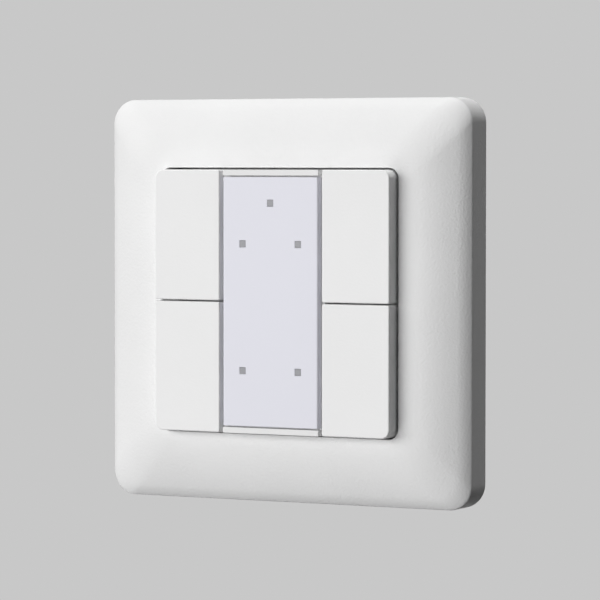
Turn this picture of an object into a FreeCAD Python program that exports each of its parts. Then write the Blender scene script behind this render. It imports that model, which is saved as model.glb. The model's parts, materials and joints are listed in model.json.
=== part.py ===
import FreeCAD, Part
import math
import os
import re
import Sketcher

# Wall panel with four light keys around a label field, for a flush wall box.
# X points right, Z up and +Y into the wall. The wall's surface is the plane Y = 0.
# "out" below is a distance in front of the wall, so out = -Y.

doc = FreeCAD.newDocument("lighting_control_panel")
sheet = doc.addObject("Spreadsheet::Sheet", "Sizes")

# Driving dimensions in millimetres, angles in degrees.
sizes = {
    # square of keys and label in the middle of the frame
    "insert_width": 55.0,
    "insert_corner": 1.8,
    "insert_front": 15.0,
    # cover frame
    "frame_width": 84.7,
    "frame_corner": 5.2,
    "opening_corner": 2.2,
    "opening_gap": 0.4,
    "skirt_height": 6.7,
    "crown_height": 11.6,
    "edge_round": 8.0,
    "edge_tilt": 46.0,
    "crown_tilt": 26.7,
    "frame_wall": 2.0,
    "collar_wall": 1.4,
    "ledge_width": 2.6,
    "ledge_front": 4.6,
    "ledge_thick": 1.4,
    "rib_thick": 1.2,
    "rib_spread": 22.0,
    "rib_clear": 0.5,
    # fits
    "seat_gap": 0.05,
    "side_gap": 0.2,
    "cut_past": 1.0,
    "pin_play": 0.05,
    "plunger_play": 0.08,
    # steel ring that is screwed to the wall box
    "ring_width": 71.0,
    "ring_corner": 4.0,
    "ring_thick": 1.2,
    "ring_play": 0.3,
    "lip_height": 2.2,
    "lip_length": 38.0,
    "screw_spacing": 60.0,
    "screw_slot_width": 3.5,
    "screw_slot_length": 6.5,
    # front moulding that carries the keys
    "plate_thick": 1.8,
    "tower_step": 1.8,
    "tower_front_wall": 1.6,
    "tower_wall": 1.4,
    "shoulder_gap": 0.15,
    "bar_height": 1.2,
    "bar_gap": 0.33,
    "stop_thick": 1.4,
    "stop_inset": 0.9,
    "press_angle": 4.0,
    "stop_play": 0.13,
    # keys
    "label_width": 22.4,
    "label_gap": 0.8,
    "middle_gap": 0.3,
    "key_cap": 1.6,
    "key_wall": 1.2,
    "key_skirt": 4.6,
    "inner_skirt": 3.4,
    "key_edge_round": 0.3,
    "key_side_round": 0.4,
    "hinge_inset": 1.6,
    "hinge_out": 9.6,
    "hinge_pin_radius": 0.95,
    "hinge_pin_length": 1.4,
    "eye_radius": 1.6,
    "eye_thick": 1.6,
    "ear_radius": 1.4,
    "ear_thick": 1.6,
    "eye_inset": 2.05,
    "hook_reach": 5.6,
    "hook_height": 5.0,
    "hook_width": 3.0,
    "hook_thick": 1.0,
    "hook_nose": 1.0,
    "hook_catch": 0.95,
    # switches under the keys
    "switch_height": 12.5,
    "switch_width": 5.2,
    "switch_body": 3.4,
    "plunger_radius": 1.3,
    "plunger_rise": 1.2,
    "plunger_depth": 0.8,
    "plunger_travel": 0.31,
    "pusher_gap": 0.15,
    "pusher_width": 2.4,
    "pusher_thick": 1.2,
    "switch_clear": 1.0,
    "window_play": 0.5,
    # label field
    "cover_thick": 1.45,
    "cover_edge": 0.2,
    "sheet_thick": 0.25,
    "lug_width": 6.0,
    "lug_thick": 0.8,
    "lug_inset": 0.7,
    "lug_length": 3.3,
    "light_square": 1.35,
    "light_play": 0.06,
    "light_side": 6.5,
    "light_upper": 12.05,
    "light_lower": 14.4,
    "light_top_inset": 0.75,
    "guide_radius": 1.4,
    "guide_sleeve": 0.8,
    "guide_sleeve_length": 4.0,
    # circuit board
    "board_rear": 0.6,
    "board_thick": 1.6,
    "board_play": 0.3,
    "lamp_width": 2.0,
    "lamp_height": 1.25,
    "lamp_thick": 0.8,
    "lamp_gap": 0.15,
    "controller_width": 9.0,
    "controller_thick": 1.4,
    "controller_inset": 13.3,
    "transceiver_width": 7.0,
    "transceiver_thick": 1.0,
    "transceiver_inset": 12.8,
    "chip_height": 6.0,
    "coil_radius": 4.0,
    "coil_thick": 5.0,
    "coil_groove": 1.5,
    "coil_groove_reach": 0.6,
    "coil_inset": 6.3,
    "coil_drop": 5.0,
    "can_radius": 3.15,
    "can_thick": 7.0,
    "can_inset": 6.3,
    "can_pitch": 7.0,
    "can_drop": 3.0,
    # rear housing in the wall box
    "housing_width": 46.4,
    "housing_chamfer": 7.0,
    "housing_wall": 1.6,
    "housing_depth": 18.0,
    "housing_floor": 1.8,
    "post_side_inset": 10.2,
    "post_end_inset": 4.7,
    "post_radius": 3.4,
    "boss_radius": 2.5,
    "board_screw_radius": 1.1,
    "board_screw_play": 0.06,
    "screw_room": 0.3,
    "screw_head_radius": 2.0,
    "screw_head_height": 1.5,
    "screw_seat_depth": 5.0,
    "latch_width": 7.0,
    "latch_slit": 0.8,
    "latch_length": 7.0,
    "latch_nose": 1.1,
    "latch_ramp": 3.0,
    # bus terminal and its pins
    "terminal_width": 11.8,
    "terminal_height": 10.2,
    "terminal_length": 10.8,
    "terminal_inset": 10.2,
    "terminal_play": 0.2,
    "socket_depth": 9.0,
    "socket_wall": 1.2,
    "pin_radius": 0.5,
    "pin_reach": 16.0,
    "wire_hole_radius": 0.6,
    "wire_hole_depth": 5.0,
    "wire_hole_pitch": 4.6,
    # programming button and lamp at the rear
    "rear_button_side": 4.6,
    "rear_button_inset": 6.2,
    "rear_button_radius": 1.7,
    "rear_button_rise": 0.7,
    "rear_button_travel": 0.3,
    "rear_collar_radius": 2.5,
    "rear_collar_thick": 1.0,
    "rear_lamp_radius": 1.2,
    "rear_lamp_collar": 0.8,
}
for row, (alias, value) in enumerate(sizes.items(), start=1):
    sheet.set("A%d" % row, alias)
    sheet.set("B%d" % row, str(value))
    sheet.setAlias("B%d" % row, alias)
doc.recompute()


# A formula is text made of size names. Each size name becomes a link to its cell.
def linked(formula):
    def link(word):
        return "Sizes." + word[0] if word[0] in sizes else word[0]
    return re.sub(r"[a-z_]+", link, str(formula))


def bind(piece, prop, formula):
    piece.setExpression(prop, linked(formula))


# Named places, worked out from the driving dimensions.
insert_half = "(insert_width / 2)"
opening_half = "(insert_width / 2 + opening_gap)"
frame_half = "(frame_width / 2)"
label_half = "(label_width / 2)"
key_inner = "(label_width / 2 + label_gap)"
hinge_x = "(label_width / 2 + label_gap + hinge_inset)"
plate_rear = "(ledge_front + seat_gap)"
plate_front = "(ledge_front + seat_gap + plate_thick)"
tower_front = "(insert_front - tower_step)"
tower_inside = "(insert_front - tower_step - tower_front_wall)"
shoulder_half = "(label_width / 2 + label_gap - shoulder_gap)"
hollow_half = "(label_width / 2 + label_gap - shoulder_gap - tower_wall)"
cover_half_height = "(insert_width / 2 - bar_height - bar_gap)"
cover_rear = "(insert_front - cover_thick)"
cap_rear = "(insert_front - key_cap)"
skirt_rear = "(insert_front - key_skirt)"
switch_x = "(housing_width / 2 - housing_wall - switch_width / 2 - switch_clear)"
board_front = "(board_rear + board_thick)"
board_half = "(housing_width / 2 - housing_wall - board_play)"
switch_front = "(board_rear + board_thick + seat_gap + switch_body)"
plunger_front = "(board_rear + board_thick + seat_gap + switch_body + plunger_rise)"
housing_half = "(housing_width / 2)"
housing_front = "(ledge_front)"
floor_inside = "(-housing_depth + housing_floor)"
socket_floor = "(-housing_depth + socket_depth)"
light_top = "(housing_width / 2 - housing_wall - board_play - light_top_inset)"
lamp_front = "(board_rear + board_thick + seat_gap + lamp_thick)"
rear_of_board = "(board_rear - seat_gap)"
post_x = "(housing_width / 2 - post_side_inset)"
post_z = "(housing_width / 2 - post_end_inset)"
terminal_z = "(terminal_inset - housing_width / 2)"
rear_button_z = "(housing_width / 2 - rear_button_inset)"
before_housing = "(-housing_depth - cut_past)"


def minus(formula):
    return "-(%s)" % formula


# Solid primitives, joins and cuts.
def block(name, x, out, z):
    piece = doc.addObject("Part::Box", name)
    bind(piece, "Length", "%s - (%s)" % (x[1], x[0]))
    bind(piece, "Width", "%s - (%s)" % (out[1], out[0]))
    bind(piece, "Height", "%s - (%s)" % (z[1], z[0]))
    bind(piece, "Placement.Base.x", x[0])
    bind(piece, "Placement.Base.y", minus(out[1]))
    bind(piece, "Placement.Base.z", z[0])
    return piece


# A round rod from one out to another, standing square to the wall.
def rod(name, x, z, radius, out):
    piece = doc.addObject("Part::Cylinder", name)
    piece.Placement.Rotation = FreeCAD.Rotation(FreeCAD.Vector(1, 0, 0), 90)
    bind(piece, "Radius", radius)
    bind(piece, "Height", "%s - (%s)" % (out[1], out[0]))
    bind(piece, "Placement.Base.x", x)
    bind(piece, "Placement.Base.y", minus(out[0]))
    bind(piece, "Placement.Base.z", z)
    return piece


# A round rod standing upright along Z.
def upright_rod(name, x, out, radius, z):
    piece = doc.addObject("Part::Cylinder", name)
    bind(piece, "Radius", radius)
    bind(piece, "Height", "%s - (%s)" % (z[1], z[0]))
    bind(piece, "Placement.Base.x", x)
    bind(piece, "Placement.Base.y", minus(out))
    bind(piece, "Placement.Base.z", z[0])
    return piece


def around(centre, width):
    return ("%s - (%s) / 2" % (centre, width), "%s + (%s) / 2" % (centre, width))


def join(name, pieces):
    joined = doc.addObject("Part::MultiFuse", name)
    joined.Shapes = pieces
    joined.Refine = True
    return joined


def carve(name, base, tools):
    tool = tools[0]
    if len(tools) > 1:
        tool = doc.addObject("Part::Compound", name + "_tools")
        tool.Links = tools
    carved = doc.addObject("Part::Cut", name)
    carved.Base = base
    carved.Tool = tool
    carved.Refine = True
    return carved


def mirrored(name, source, normal):
    copy = doc.addObject("Part::Mirroring", name)
    copy.Source = source
    copy.Normal = normal
    return copy


# Straight edges that run along a direction, sorted by how far they lie to the upper right.
def edges_along(shape, direction):
    found = []
    for number, edge in enumerate(shape.Edges, start=1):
        line = edge.Curve
        if isinstance(line, Part.Line) and abs(line.Direction.dot(direction)) > 0.999:
            middle = edge.CenterOfMass
            found.append((middle.x + middle.z, "Edge%d" % number))
    return [name for reach, name in sorted(found)]


# Edges that lie in the plane out = level.
def edges_at_level(shape, level):
    names = []
    for number, edge in enumerate(shape.Edges, start=1):
        box = edge.BoundBox
        if abs(box.YMin + level) < 1e-4 and abs(box.YMax + level) < 1e-4:
            names.append("Edge%d" % number)
    return names


inward = FreeCAD.Vector(0, 1, 0)
quarter_turn = math.pi / 2


# Sketches and features of a body. A sketch lies square to the wall's normal at a given out.
def new_body(name):
    return doc.addObject("PartDesign::Body", name)


def plane_of(body, role):
    return next(item for item in body.Origin.OriginFeatures if item.Role == role)


def new_sketch(body, name, out, role="XZ_Plane"):
    sketch = body.newObject("Sketcher::SketchObject", name)
    sketch.AttachmentSupport = [(plane_of(body, role), "")]
    sketch.MapMode = "FlatFace"
    if str(out) != "0":
        bind(sketch, "AttachmentOffset.Base.z", out)
    return sketch


def fix_point(sketch, line, end, x, y):
    for kind, formula in (("DistanceX", x), ("DistanceY", y)):
        guess = sketch.getPoint(line, end)
        start = guess.x if kind == "DistanceX" else guess.y
        number = sketch.addConstraint(Sketcher.Constraint(kind, -1, 1, line, end, start))
        bind(sketch, "Constraints[%d]" % number, formula)


# Closed outline through points given as formulas. The guesses only say which way it turns.
def add_outline(sketch, points, guesses):
    first = sketch.GeometryCount
    count = len(points)
    for number in range(count):
        start = FreeCAD.Vector(*guesses[number], 0)
        end = FreeCAD.Vector(*guesses[(number + 1) % count], 0)
        sketch.addGeometry(Part.LineSegment(start, end), False)
    for number in range(count):
        after = first + (number + 1) % count
        sketch.addConstraint(Sketcher.Constraint("Coincident", first + number, 2, after, 1))
    for number, (x, y) in enumerate(points):
        fix_point(sketch, first + number, 1, x, y)


def add_rectangle(sketch, x, z, middle=(0, 0), guess=9):
    turns = ((-guess, -guess), (guess, -guess), (guess, guess), (-guess, guess))
    guesses = [(middle[0] + dx, middle[1] + dz) for dx, dz in turns]
    add_outline(sketch, [(x[0], z[0]), (x[1], z[0]), (x[1], z[1]), (x[0], z[1])], guesses)


# Square with cut corners, for the pieces that fit a round wall box.
def add_cut_square(sketch, half, cut):
    near = "(%s - %s)" % (half, cut)
    points, guesses = [], []
    for sx, sz, upright in ((1, 1, True), (1, -1, False), (-1, -1, True), (-1, 1, False)):
        signs = [formula if sign > 0 else minus(formula)
                 for sign, formula in ((sx, half), (sz, near), (sx, near), (sz, half))]
        side, top = (signs[0], signs[1]), (signs[2], signs[3])
        side_guess, top_guess = (sx * 20, sz * 14), (sx * 14, sz * 20)
        points += [top, side] if upright else [side, top]
        guesses += [top_guess, side_guess] if upright else [side_guess, top_guess]
    add_outline(sketch, points, guesses)


# Square with round corners, drawn as four sides and four arcs.
def add_round_square(sketch, half, radius):
    first = sketch.GeometryCount
    near = "(%s - (%s))" % (half, radius)
    guess_half, guess_radius = 30.0, 5.0
    guess_near = guess_half - guess_radius
    corners = ((1, 1), (-1, 1), (-1, -1), (1, -1))
    for number, (sx, sz) in enumerate(corners):
        turn = number * quarter_turn
        centre = FreeCAD.Vector(sx * guess_near, sz * guess_near, 0)
        circle = Part.Circle(centre, FreeCAD.Vector(0, 0, 1), guess_radius)
        sketch.addGeometry(Part.ArcOfCircle(circle, turn, turn + quarter_turn), False)
    for number in range(4):
        after = (number + 1) % 4
        start, end = sketch.getPoint(first + number, 2), sketch.getPoint(first + after, 1)
        sketch.addGeometry(Part.LineSegment(start, end), False)
        side = first + 4 + number
        sketch.addConstraint(Sketcher.Constraint("Coincident", first + number, 2, side, 1))
        sketch.addConstraint(Sketcher.Constraint("Coincident", side, 2, first + after, 1))
    for number, (sx, sz) in enumerate(corners):
        beside = (half if sx > 0 else minus(half), near if sz > 0 else minus(near))
        above = (near if sx > 0 else minus(near), half if sz > 0 else minus(half))
        starts_beside = number % 2 == 0
        fix_point(sketch, first + number, 1, *(beside if starts_beside else above))
        fix_point(sketch, first + number, 2, *(above if starts_beside else beside))
        round_size = sketch.addConstraint(Sketcher.Constraint("Radius", first + number, guess_radius))
        bind(sketch, "Constraints[%d]" % round_size, radius)


def pad(body, name, sketch, length):
    feature = body.newObject("PartDesign::Pad", name)
    feature.Profile = sketch
    bind(feature, "Length", length)
    body.Tip = feature
    return feature


# A pocket that goes from its sketch towards the wall, or towards the front.
def pocket(body, name, sketch, length, to_front=False):
    feature = body.newObject("PartDesign::Pocket", name)
    feature.Profile = sketch
    feature.Reversed = to_front
    bind(feature, "Length", length)
    body.Tip = feature
    return feature


def fillet(body, name, base, edges, radius):
    feature = body.newObject("PartDesign::Fillet", name)
    feature.Base = (base, edges)
    bind(feature, "Radius", radius)
    body.Tip = feature
    return feature


nodes = {}


def finish(label, piece):
    piece.Label = label
    nodes[label] = piece
    return piece


# Cover frame: a hollow square moulding whose front rises in an arch to the opening.
edge_inset = "(edge_round * (sin(edge_tilt) - sin(crown_tilt)))"
edge_rise = "(edge_round * (cos(crown_tilt) - cos(edge_tilt)))"
arch_run = "(%s - %s - %s)" % (frame_half, opening_half, edge_inset)
arch_rise = "(crown_height - skirt_height - %s)" % edge_rise
arch_bulge = "(tan(crown_tilt) * %s / %s - 1)" % (arch_run, arch_rise)


# Section of the frame's front: how far it is set in from the edge, and its out.
def edge_section(share):
    tilt = "(edge_tilt + (crown_tilt - edge_tilt) * %s)" % share
    inset = "edge_round * (sin(edge_tilt) - sin(%s))" % tilt
    rise = "edge_round * (cos(%s) - cos(edge_tilt))" % tilt
    return inset, "skirt_height + " + rise


def arch_section(share):
    inset = "%s + %s * %s" % (edge_inset, arch_run, share)
    lift = "(%s + %s * %s * (1 - %s))" % (share, arch_bulge, share, share)
    return inset, "skirt_height + %s + %s * %s" % (edge_rise, arch_rise, lift)


def frame_section(body, name, inset, out, wall="0"):
    share = "((%s) / (%s - %s))" % (inset, frame_half, opening_half)
    radius = "frame_corner - %s + (opening_corner - frame_corner) * %s" % (wall, share)
    sketch = new_sketch(body, name, out)
    add_round_square(sketch, "(%s - (%s) - %s)" % (frame_half, inset, wall), "(%s)" % radius)
    return sketch


def loft(body, kind, name, sections, ruled):
    feature = body.newObject("PartDesign::" + kind, name)
    feature.Profile = sections[0]
    feature.Sections = sections[1:]
    feature.Ruled = ruled
    body.Tip = feature
    return feature


def make_cover_frame():
    body = new_body("cover_frame")
    skirt = new_sketch(body, "frame_outline", 0)
    add_round_square(skirt, frame_half, "frame_corner")
    pad(body, "frame_skirt", skirt, "skirt_height")
    places = [edge_section(share) for share in (0, 0.35, 0.7)]
    places += [arch_section(share) for share in (0, 0.3, 0.65, 1)]
    fronts = [frame_section(body, "arch_section_%d" % number, inset, out)
              for number, (inset, out) in enumerate(places)]
    loft(body, "AdditiveLoft", "frame_arch", fronts, False)
    # the hollow behind the arch keeps an even wall
    hollow = [("0", "0"), ("0", "skirt_height - frame_wall / 2.5")]
    hollow += [(inset, "%s - frame_wall" % out) for inset, out in (arch_section(0.3), arch_section(0.9))]
    backs = [frame_section(body, "hollow_section_%d" % number, inset, out, "frame_wall")
             for number, (inset, out) in enumerate(hollow)]
    loft(body, "SubtractiveLoft", "frame_hollow", backs, True)
    collar = new_sketch(body, "collar_outline", "ring_thick + seat_gap")
    add_round_square(collar, "(%s + collar_wall)" % opening_half, "(opening_corner + collar_wall)")
    pad(body, "frame_collar", collar, "crown_height - frame_wall / 2 - ring_thick - seat_gap")
    opening = new_sketch(body, "opening_outline", 0)
    add_round_square(opening, opening_half, "opening_corner")
    pocket(body, "frame_opening", opening, "crown_height + insert_front", True)
    ledge = new_sketch(body, "ledge_outline", "ledge_front - ledge_thick")
    add_round_square(ledge, "(%s + collar_wall / 2)" % opening_half, "(opening_corner + collar_wall / 2)")
    add_round_square(ledge, "(%s - ledge_width)" % opening_half, "(opening_corner / 2)")
    pad(body, "frame_ledge", ledge, "ledge_thick")
    doc.recompute()
    ribs = frame_ribs("side_rib", "XY_Plane") + frame_ribs("end_rib", "YZ_Plane")
    return finish("cover_frame", join("ribbed_frame", [body] + ribs))


# Stiffening ribs from the collar to the skirt, under the arch: four in one direction.
def frame_ribs(name, role):
    body = new_body(name)
    sketch = new_sketch(body, name + "_outline", "rib_spread - rib_thick / 2", role)
    collar = "%s + collar_wall / 2" % opening_half
    skirt = "%s - frame_wall / 2" % frame_half
    foot = "ring_thick + lip_height + rib_clear"
    inset, brow = arch_section(0.3)
    middle = "%s - (%s)" % (frame_half, inset)
    profile = [(collar, foot), (skirt, foot), (skirt, "skirt_height - frame_wall / 4"),
               (middle, brow + " - frame_wall / 2"), (collar, "crown_height - frame_wall / 2")]
    guesses = [(29, 4), (41, 4), (41, 6), (36, 8), (29, 10)]
    if role == "XY_Plane":
        places = [(run, minus(out)) for run, out in profile]
        add_outline(sketch, places, [(run, -out) for run, out in guesses])
        across, along = (1, 0, 0), (0, 0, 1)
    else:
        places = [(minus(out), run) for run, out in profile]
        add_outline(sketch, places, [(-out, run) for run, out in guesses])
        across, along = (0, 0, 1), (1, 0, 0)
    pad(body, name + "_pad", sketch, "rib_thick")
    doc.recompute()
    twin = mirrored(name + "_twin", body, along)
    return [body, twin, mirrored(name + "_far", body, across), mirrored(name + "_far_twin", twin, across)]


# Support ring: folded steel plate with the four screw slots of a wall box.
def make_support_ring():
    body = new_body("ring_plate")
    outline = new_sketch(body, "ring_outline", 0)
    add_round_square(outline, "(ring_width / 2)", "ring_corner")
    add_cut_square(outline, "(%s + ring_play)" % housing_half, "housing_chamfer")
    pad(body, "ring_pad", outline, "ring_thick")
    doc.recompute()
    slots = []
    offset = "screw_spacing / 2"
    straight = "(screw_slot_length - screw_slot_width)"
    out = ("-ring_thick", "2 * ring_thick")
    places = ((offset, "0"), (minus(offset), "0"), ("0", offset), ("0", minus(offset)))
    for number, (x, z) in enumerate(places):
        across = around(x, straight)
        slots.append(block("slot_middle_%d" % number, across, out, around(z, "screw_slot_width")))
        for side in ("-", "+"):
            end = "%s %s %s / 2" % (x, side, straight)
            name = "slot_end_%d_%s" % (number, "left" if side == "-" else "right")
            slots.append(rod(name, end, z, "(screw_slot_width / 2)", out))
    # folded lips on the four outer edges
    lips = []
    long_way = around("0", "lip_length")
    for side in (1, -1):
        edge = ("ring_width / 2 - ring_thick", "ring_width / 2")
        across = edge if side > 0 else (minus(edge[1]), minus(edge[0]))
        height = ("ring_thick / 2", "ring_thick + lip_height")
        lips.append(block("side_lip_%d" % side, across, height, long_way))
        lips.append(block("end_lip_%d" % side, long_way, height, across))
    folded = join("folded_ring", [body] + lips)
    tool = join("slot_shapes", slots)
    return finish("support_ring", carve("slotted_ring", folded, [tool]))


# The five small lights: name, X and Z.
lights = {
    "operation": ("0", light_top),
    "upper_left": ("-light_side", "light_upper"),
    "upper_right": ("light_side", "light_upper"),
    "lower_left": ("-light_side", "-light_lower"),
    "lower_right": ("light_side", "-light_lower"),
}
# Where the four keys are, as signs of X and Z.
quarters = {"upper_left": (-1, 1), "upper_right": (1, 1), "lower_left": (-1, -1), "lower_right": (1, -1)}


def signed(sign, formula):
    return formula if sign > 0 else minus(formula)


def span(sign, low, high):
    return (low, high) if sign > 0 else (minus(high), minus(low))


# Heights of the hinge eyes on the carrier and of the ears on a key, along Z from the middle.
eye_spans = (("eye_inset", "eye_inset + eye_thick"),
             ("insert_width / 2 - eye_inset - eye_thick", "insert_width / 2 - eye_inset"))
ear_spans = (("eye_inset + eye_thick + side_gap", "eye_inset + eye_thick + side_gap + ear_thick"),
             ("insert_width / 2 - eye_inset - eye_thick - side_gap - ear_thick",
              "insert_width / 2 - eye_inset - eye_thick - side_gap"))
hinge_hole = "(hinge_pin_radius + pin_play)"
# Where a pressed key's outer skirt ends, so the stop rail stays just behind it.
stop_front = ("(hinge_out - (%s - %s) * sin(press_angle) - (hinge_out - %s) * cos(press_angle) - stop_play)"
              % (insert_half, hinge_x, skirt_rear))


# Button carrier: front moulding with the label tower, hinge eyes and key stops.
def make_button_carrier():
    body = new_body("carrier_plate")
    outline = new_sketch(body, "carrier_outline", plate_rear)
    add_round_square(outline, insert_half, "insert_corner")
    pad(body, "carrier_pad", outline, "plate_thick")
    tower = new_sketch(body, "tower_outline", plate_rear)
    add_rectangle(tower, (minus(shoulder_half), shoulder_half), (minus(insert_half), insert_half))
    pad(body, "tower_pad", tower, "%s - %s" % (tower_front, plate_rear))
    hollow = new_sketch(body, "tower_hollow", plate_rear)
    hollow_height = "(%s - tower_wall - ledge_width)" % insert_half
    add_rectangle(hollow, (minus(hollow_half), hollow_half), (minus(hollow_height), hollow_height))
    pocket(body, "tower_pocket", hollow, "%s - %s" % (tower_inside, plate_rear), True)
    doc.recompute()
    added, cut = [], []
    for sign in (1, -1):
        side = "upper" if sign > 0 else "lower"
        bar = span(sign, "insert_width / 2 - bar_height", "insert_width / 2")
        added.append(block(side + "_bar", (minus(label_half), label_half),
                           ("%s - tower_front_wall / 2" % tower_front, "insert_front"), bar))
        lug = span(sign, "%s - lug_inset - lug_thick - side_gap / 2" % cover_half_height,
                   "%s - lug_inset + side_gap / 2" % cover_half_height)
        cut.append(block(side + "_lug_slot", around("0", "lug_width + side_gap"),
                         ("%s - lug_length - side_gap" % cover_rear, tower_front + " + cut_past"), lug))
        rail = span(sign, "%s - stop_inset - stop_thick" % insert_half, "%s - stop_inset" % insert_half)
        reach = "(%s - insert_corner)" % insert_half
        added.append(block("%s_stop_rail" % ("right" if sign > 0 else "left"), rail,
                           ("%s - plate_thick / 2" % plate_front, stop_front), (minus(reach), reach)))
    for name, (sx, sz) in quarters.items():
        centre = signed(sx, hinge_x)
        for number, (low, high) in enumerate(eye_spans):
            tall = span(sz, low, high)
            foot = span(sx, "%s - tower_wall / 2" % shoulder_half, "%s + eye_radius" % hinge_x)
            added.append(block("%s_eye_foot_%d" % (name, number), foot,
                               ("%s - plate_thick / 2" % plate_front, "hinge_out"), tall))
            added.append(upright_rod("%s_eye_%d" % (name, number), centre, "hinge_out", "eye_radius", tall))
            through = span(sz, low + " - side_gap / 4", high + " + side_gap / 4")
            hole = "%s_eye_hole_%d" % (name, number)
            cut.append(upright_rod(hole, centre, "hinge_out", hinge_hole, through))
        boss_x, boss_z = signed(sx, post_x), signed(sz, post_z)
        added.append(rod(name + "_boss", boss_x, boss_z, "boss_radius",
                         ("%s + seat_gap" % board_front, "%s + plate_thick / 2" % plate_rear)))
        cut.append(rod(name + "_boss_hole", boss_x, boss_z, "(board_screw_radius + board_screw_play)",
                       (board_front + " - cut_past", "%s + 0.75 * plate_thick" % plate_rear)))
        around_switch = "(switch_width + 2 * window_play)"
        through_plate = (plate_rear + " - cut_past / 2", plate_front + " + cut_past / 2")
        cut.append(block(name + "_switch_window", around(signed(sx, switch_x), around_switch),
                         through_plate, around(signed(sz, "switch_height"), around_switch)))
        hook_slot = span(sx, "%s + hook_reach - 1.4 * window_play" % hinge_x,
                         "%s + hook_reach + hook_thick + 0.8 * window_play" % hinge_x)
        cut.append(block(name + "_hook_slot", hook_slot, through_plate,
                         around(signed(sz, "hook_height"), "hook_width + window_play")))
    sleeves = []
    sleeve_out = ("%s - guide_sleeve_length" % tower_inside, "%s + tower_front_wall / 2" % tower_inside)
    for name, (x, z) in lights.items():
        sleeves.append(rod(name + "_sleeve", x, z, "(guide_radius + seat_gap + guide_sleeve)", sleeve_out))
        cut.append(rod(name + "_sleeve_bore", x, z, "(guide_radius + seat_gap)",
                       (board_front, tower_inside)))
        square = "(light_square + 2 * light_play)"
        cut.append(block(name + "_light_hole", around(x, square),
                         (tower_inside + " - cut_past / 2", tower_front + " + cut_past / 2"),
                         around(z, square)))
    whole = join("carrier_joined", [body] + added + sleeves)
    tools = join("carrier_cuts", cut)
    return finish("button_carrier", carve("carrier_cut", whole, [tools]))


# One key: a shallow cap with skirts, two hinge ears with pins, a pusher and a rest hook.
def make_upper_right_key():
    body = new_body("key_cap_body")
    outline = new_sketch(body, "key_outline", skirt_rear)
    add_rectangle(outline, (key_inner, insert_half), ("middle_gap / 2", insert_half), (18, 12))
    cap = pad(body, "key_pad", outline, "key_skirt")
    doc.recompute()
    # the corner furthest from the panel's middle has the large round, the other three a small one
    cap = fillet(body, "key_corner_round", cap, edges_along(cap.Shape, inward)[-1:], "insert_corner")
    doc.recompute()
    cap = fillet(body, "key_side_rounds", cap, edges_along(cap.Shape, inward)[:3], "key_side_round")
    doc.recompute()
    front = float(sheet.get("insert_front"))
    cap = fillet(body, "key_face_round", cap, edges_at_level(cap.Shape, front), "key_edge_round")
    hollow = new_sketch(body, "key_hollow", skirt_rear)
    add_rectangle(hollow, ("%s + key_wall" % key_inner, "%s - key_wall" % insert_half),
                  ("middle_gap / 2 + key_wall", "%s - key_wall" % insert_half), (18, 12))
    pocket(body, "key_pocket", hollow, "key_skirt - key_cap", True)
    doc.recompute()
    relief = block("inner_skirt_relief",
                   ("%s - cut_past" % key_inner, "%s + key_wall + seat_gap" % key_inner),
                   (skirt_rear + " - cut_past", "insert_front - inner_skirt"),
                   ("middle_gap / 2 + key_wall", "%s - key_wall" % insert_half))
    shell = carve("key_shell", body, [relief])
    added = []
    for number, (low, high) in enumerate(ear_spans):
        added.append(block("ear_%d" % number, ("%s - ear_radius" % hinge_x, "%s + ear_radius" % hinge_x),
                           ("hinge_out", cap_rear + " + key_cap / 2"), (low, high)))
        added.append(upright_rod("ear_round_%d" % number, hinge_x, "hinge_out", "ear_radius", (low, high)))
        reach = "(side_gap + hinge_pin_length)"
        pin = ("%s - %s" % (low, reach), high) if number == 0 else (low, "%s + %s" % (high, reach))
        added.append(upright_rod("hinge_pin_%d" % number, hinge_x, "hinge_out", "hinge_pin_radius", pin))
    added.append(block("pusher", around(switch_x, "pusher_thick"),
                       ("%s + pusher_gap" % plunger_front, cap_rear + " + key_cap / 2"),
                       around("switch_height", "pusher_width")))
    hook_x = "(%s + hook_reach)" % hinge_x
    hook_end = "(%s - 2 * seat_gap - hook_catch)" % plate_rear
    added.append(block("hook_leg", (hook_x, hook_x + " + hook_thick"),
                       (hook_end, cap_rear + " + key_cap / 2"), around("hook_height", "hook_width")))
    added.append(block("hook_nose", (hook_x + " + hook_thick / 2", hook_x + " + hook_thick + hook_nose"),
                       (hook_end, "%s - 2 * seat_gap" % plate_rear), around("hook_height", "hook_width")))
    return join("upper_right_key_joined", [shell] + added)


def make_keys():
    right = make_upper_right_key()
    finish("upper_right_key", right)
    left = finish("upper_left_key", mirrored("upper_left_key_mirror", right, (1, 0, 0)))
    finish("lower_right_key", mirrored("lower_right_key_mirror", right, (0, 0, 1)))
    finish("lower_left_key", mirrored("lower_left_key_mirror", left, (0, 0, 1)))


# Switches under the keys, each a body on the board with a plunger in its bore.
def make_switches():
    plunger_rear = "(%s - plunger_depth)" % switch_front
    bore_rear = "(%s - plunger_depth - plunger_travel - seat_gap)" % switch_front
    for name, (sx, sz) in quarters.items():
        x, z = signed(sx, switch_x), signed(sz, "switch_height")
        base = block(name + "_switch_block", around(x, "switch_width"),
                     ("%s + seat_gap" % board_front, switch_front), around(z, "switch_width"))
        bore = rod(name + "_switch_bore", x, z, "(plunger_radius + plunger_play)",
                   (bore_rear, switch_front + " + cut_past"))
        finish(name + "_switch", carve(name + "_switch_cut", base, [bore]))
        plunger = rod(name + "_plunger_rod", x, z, "plunger_radius", (plunger_rear, plunger_front))
        finish(name + "_plunger", plunger)


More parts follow.
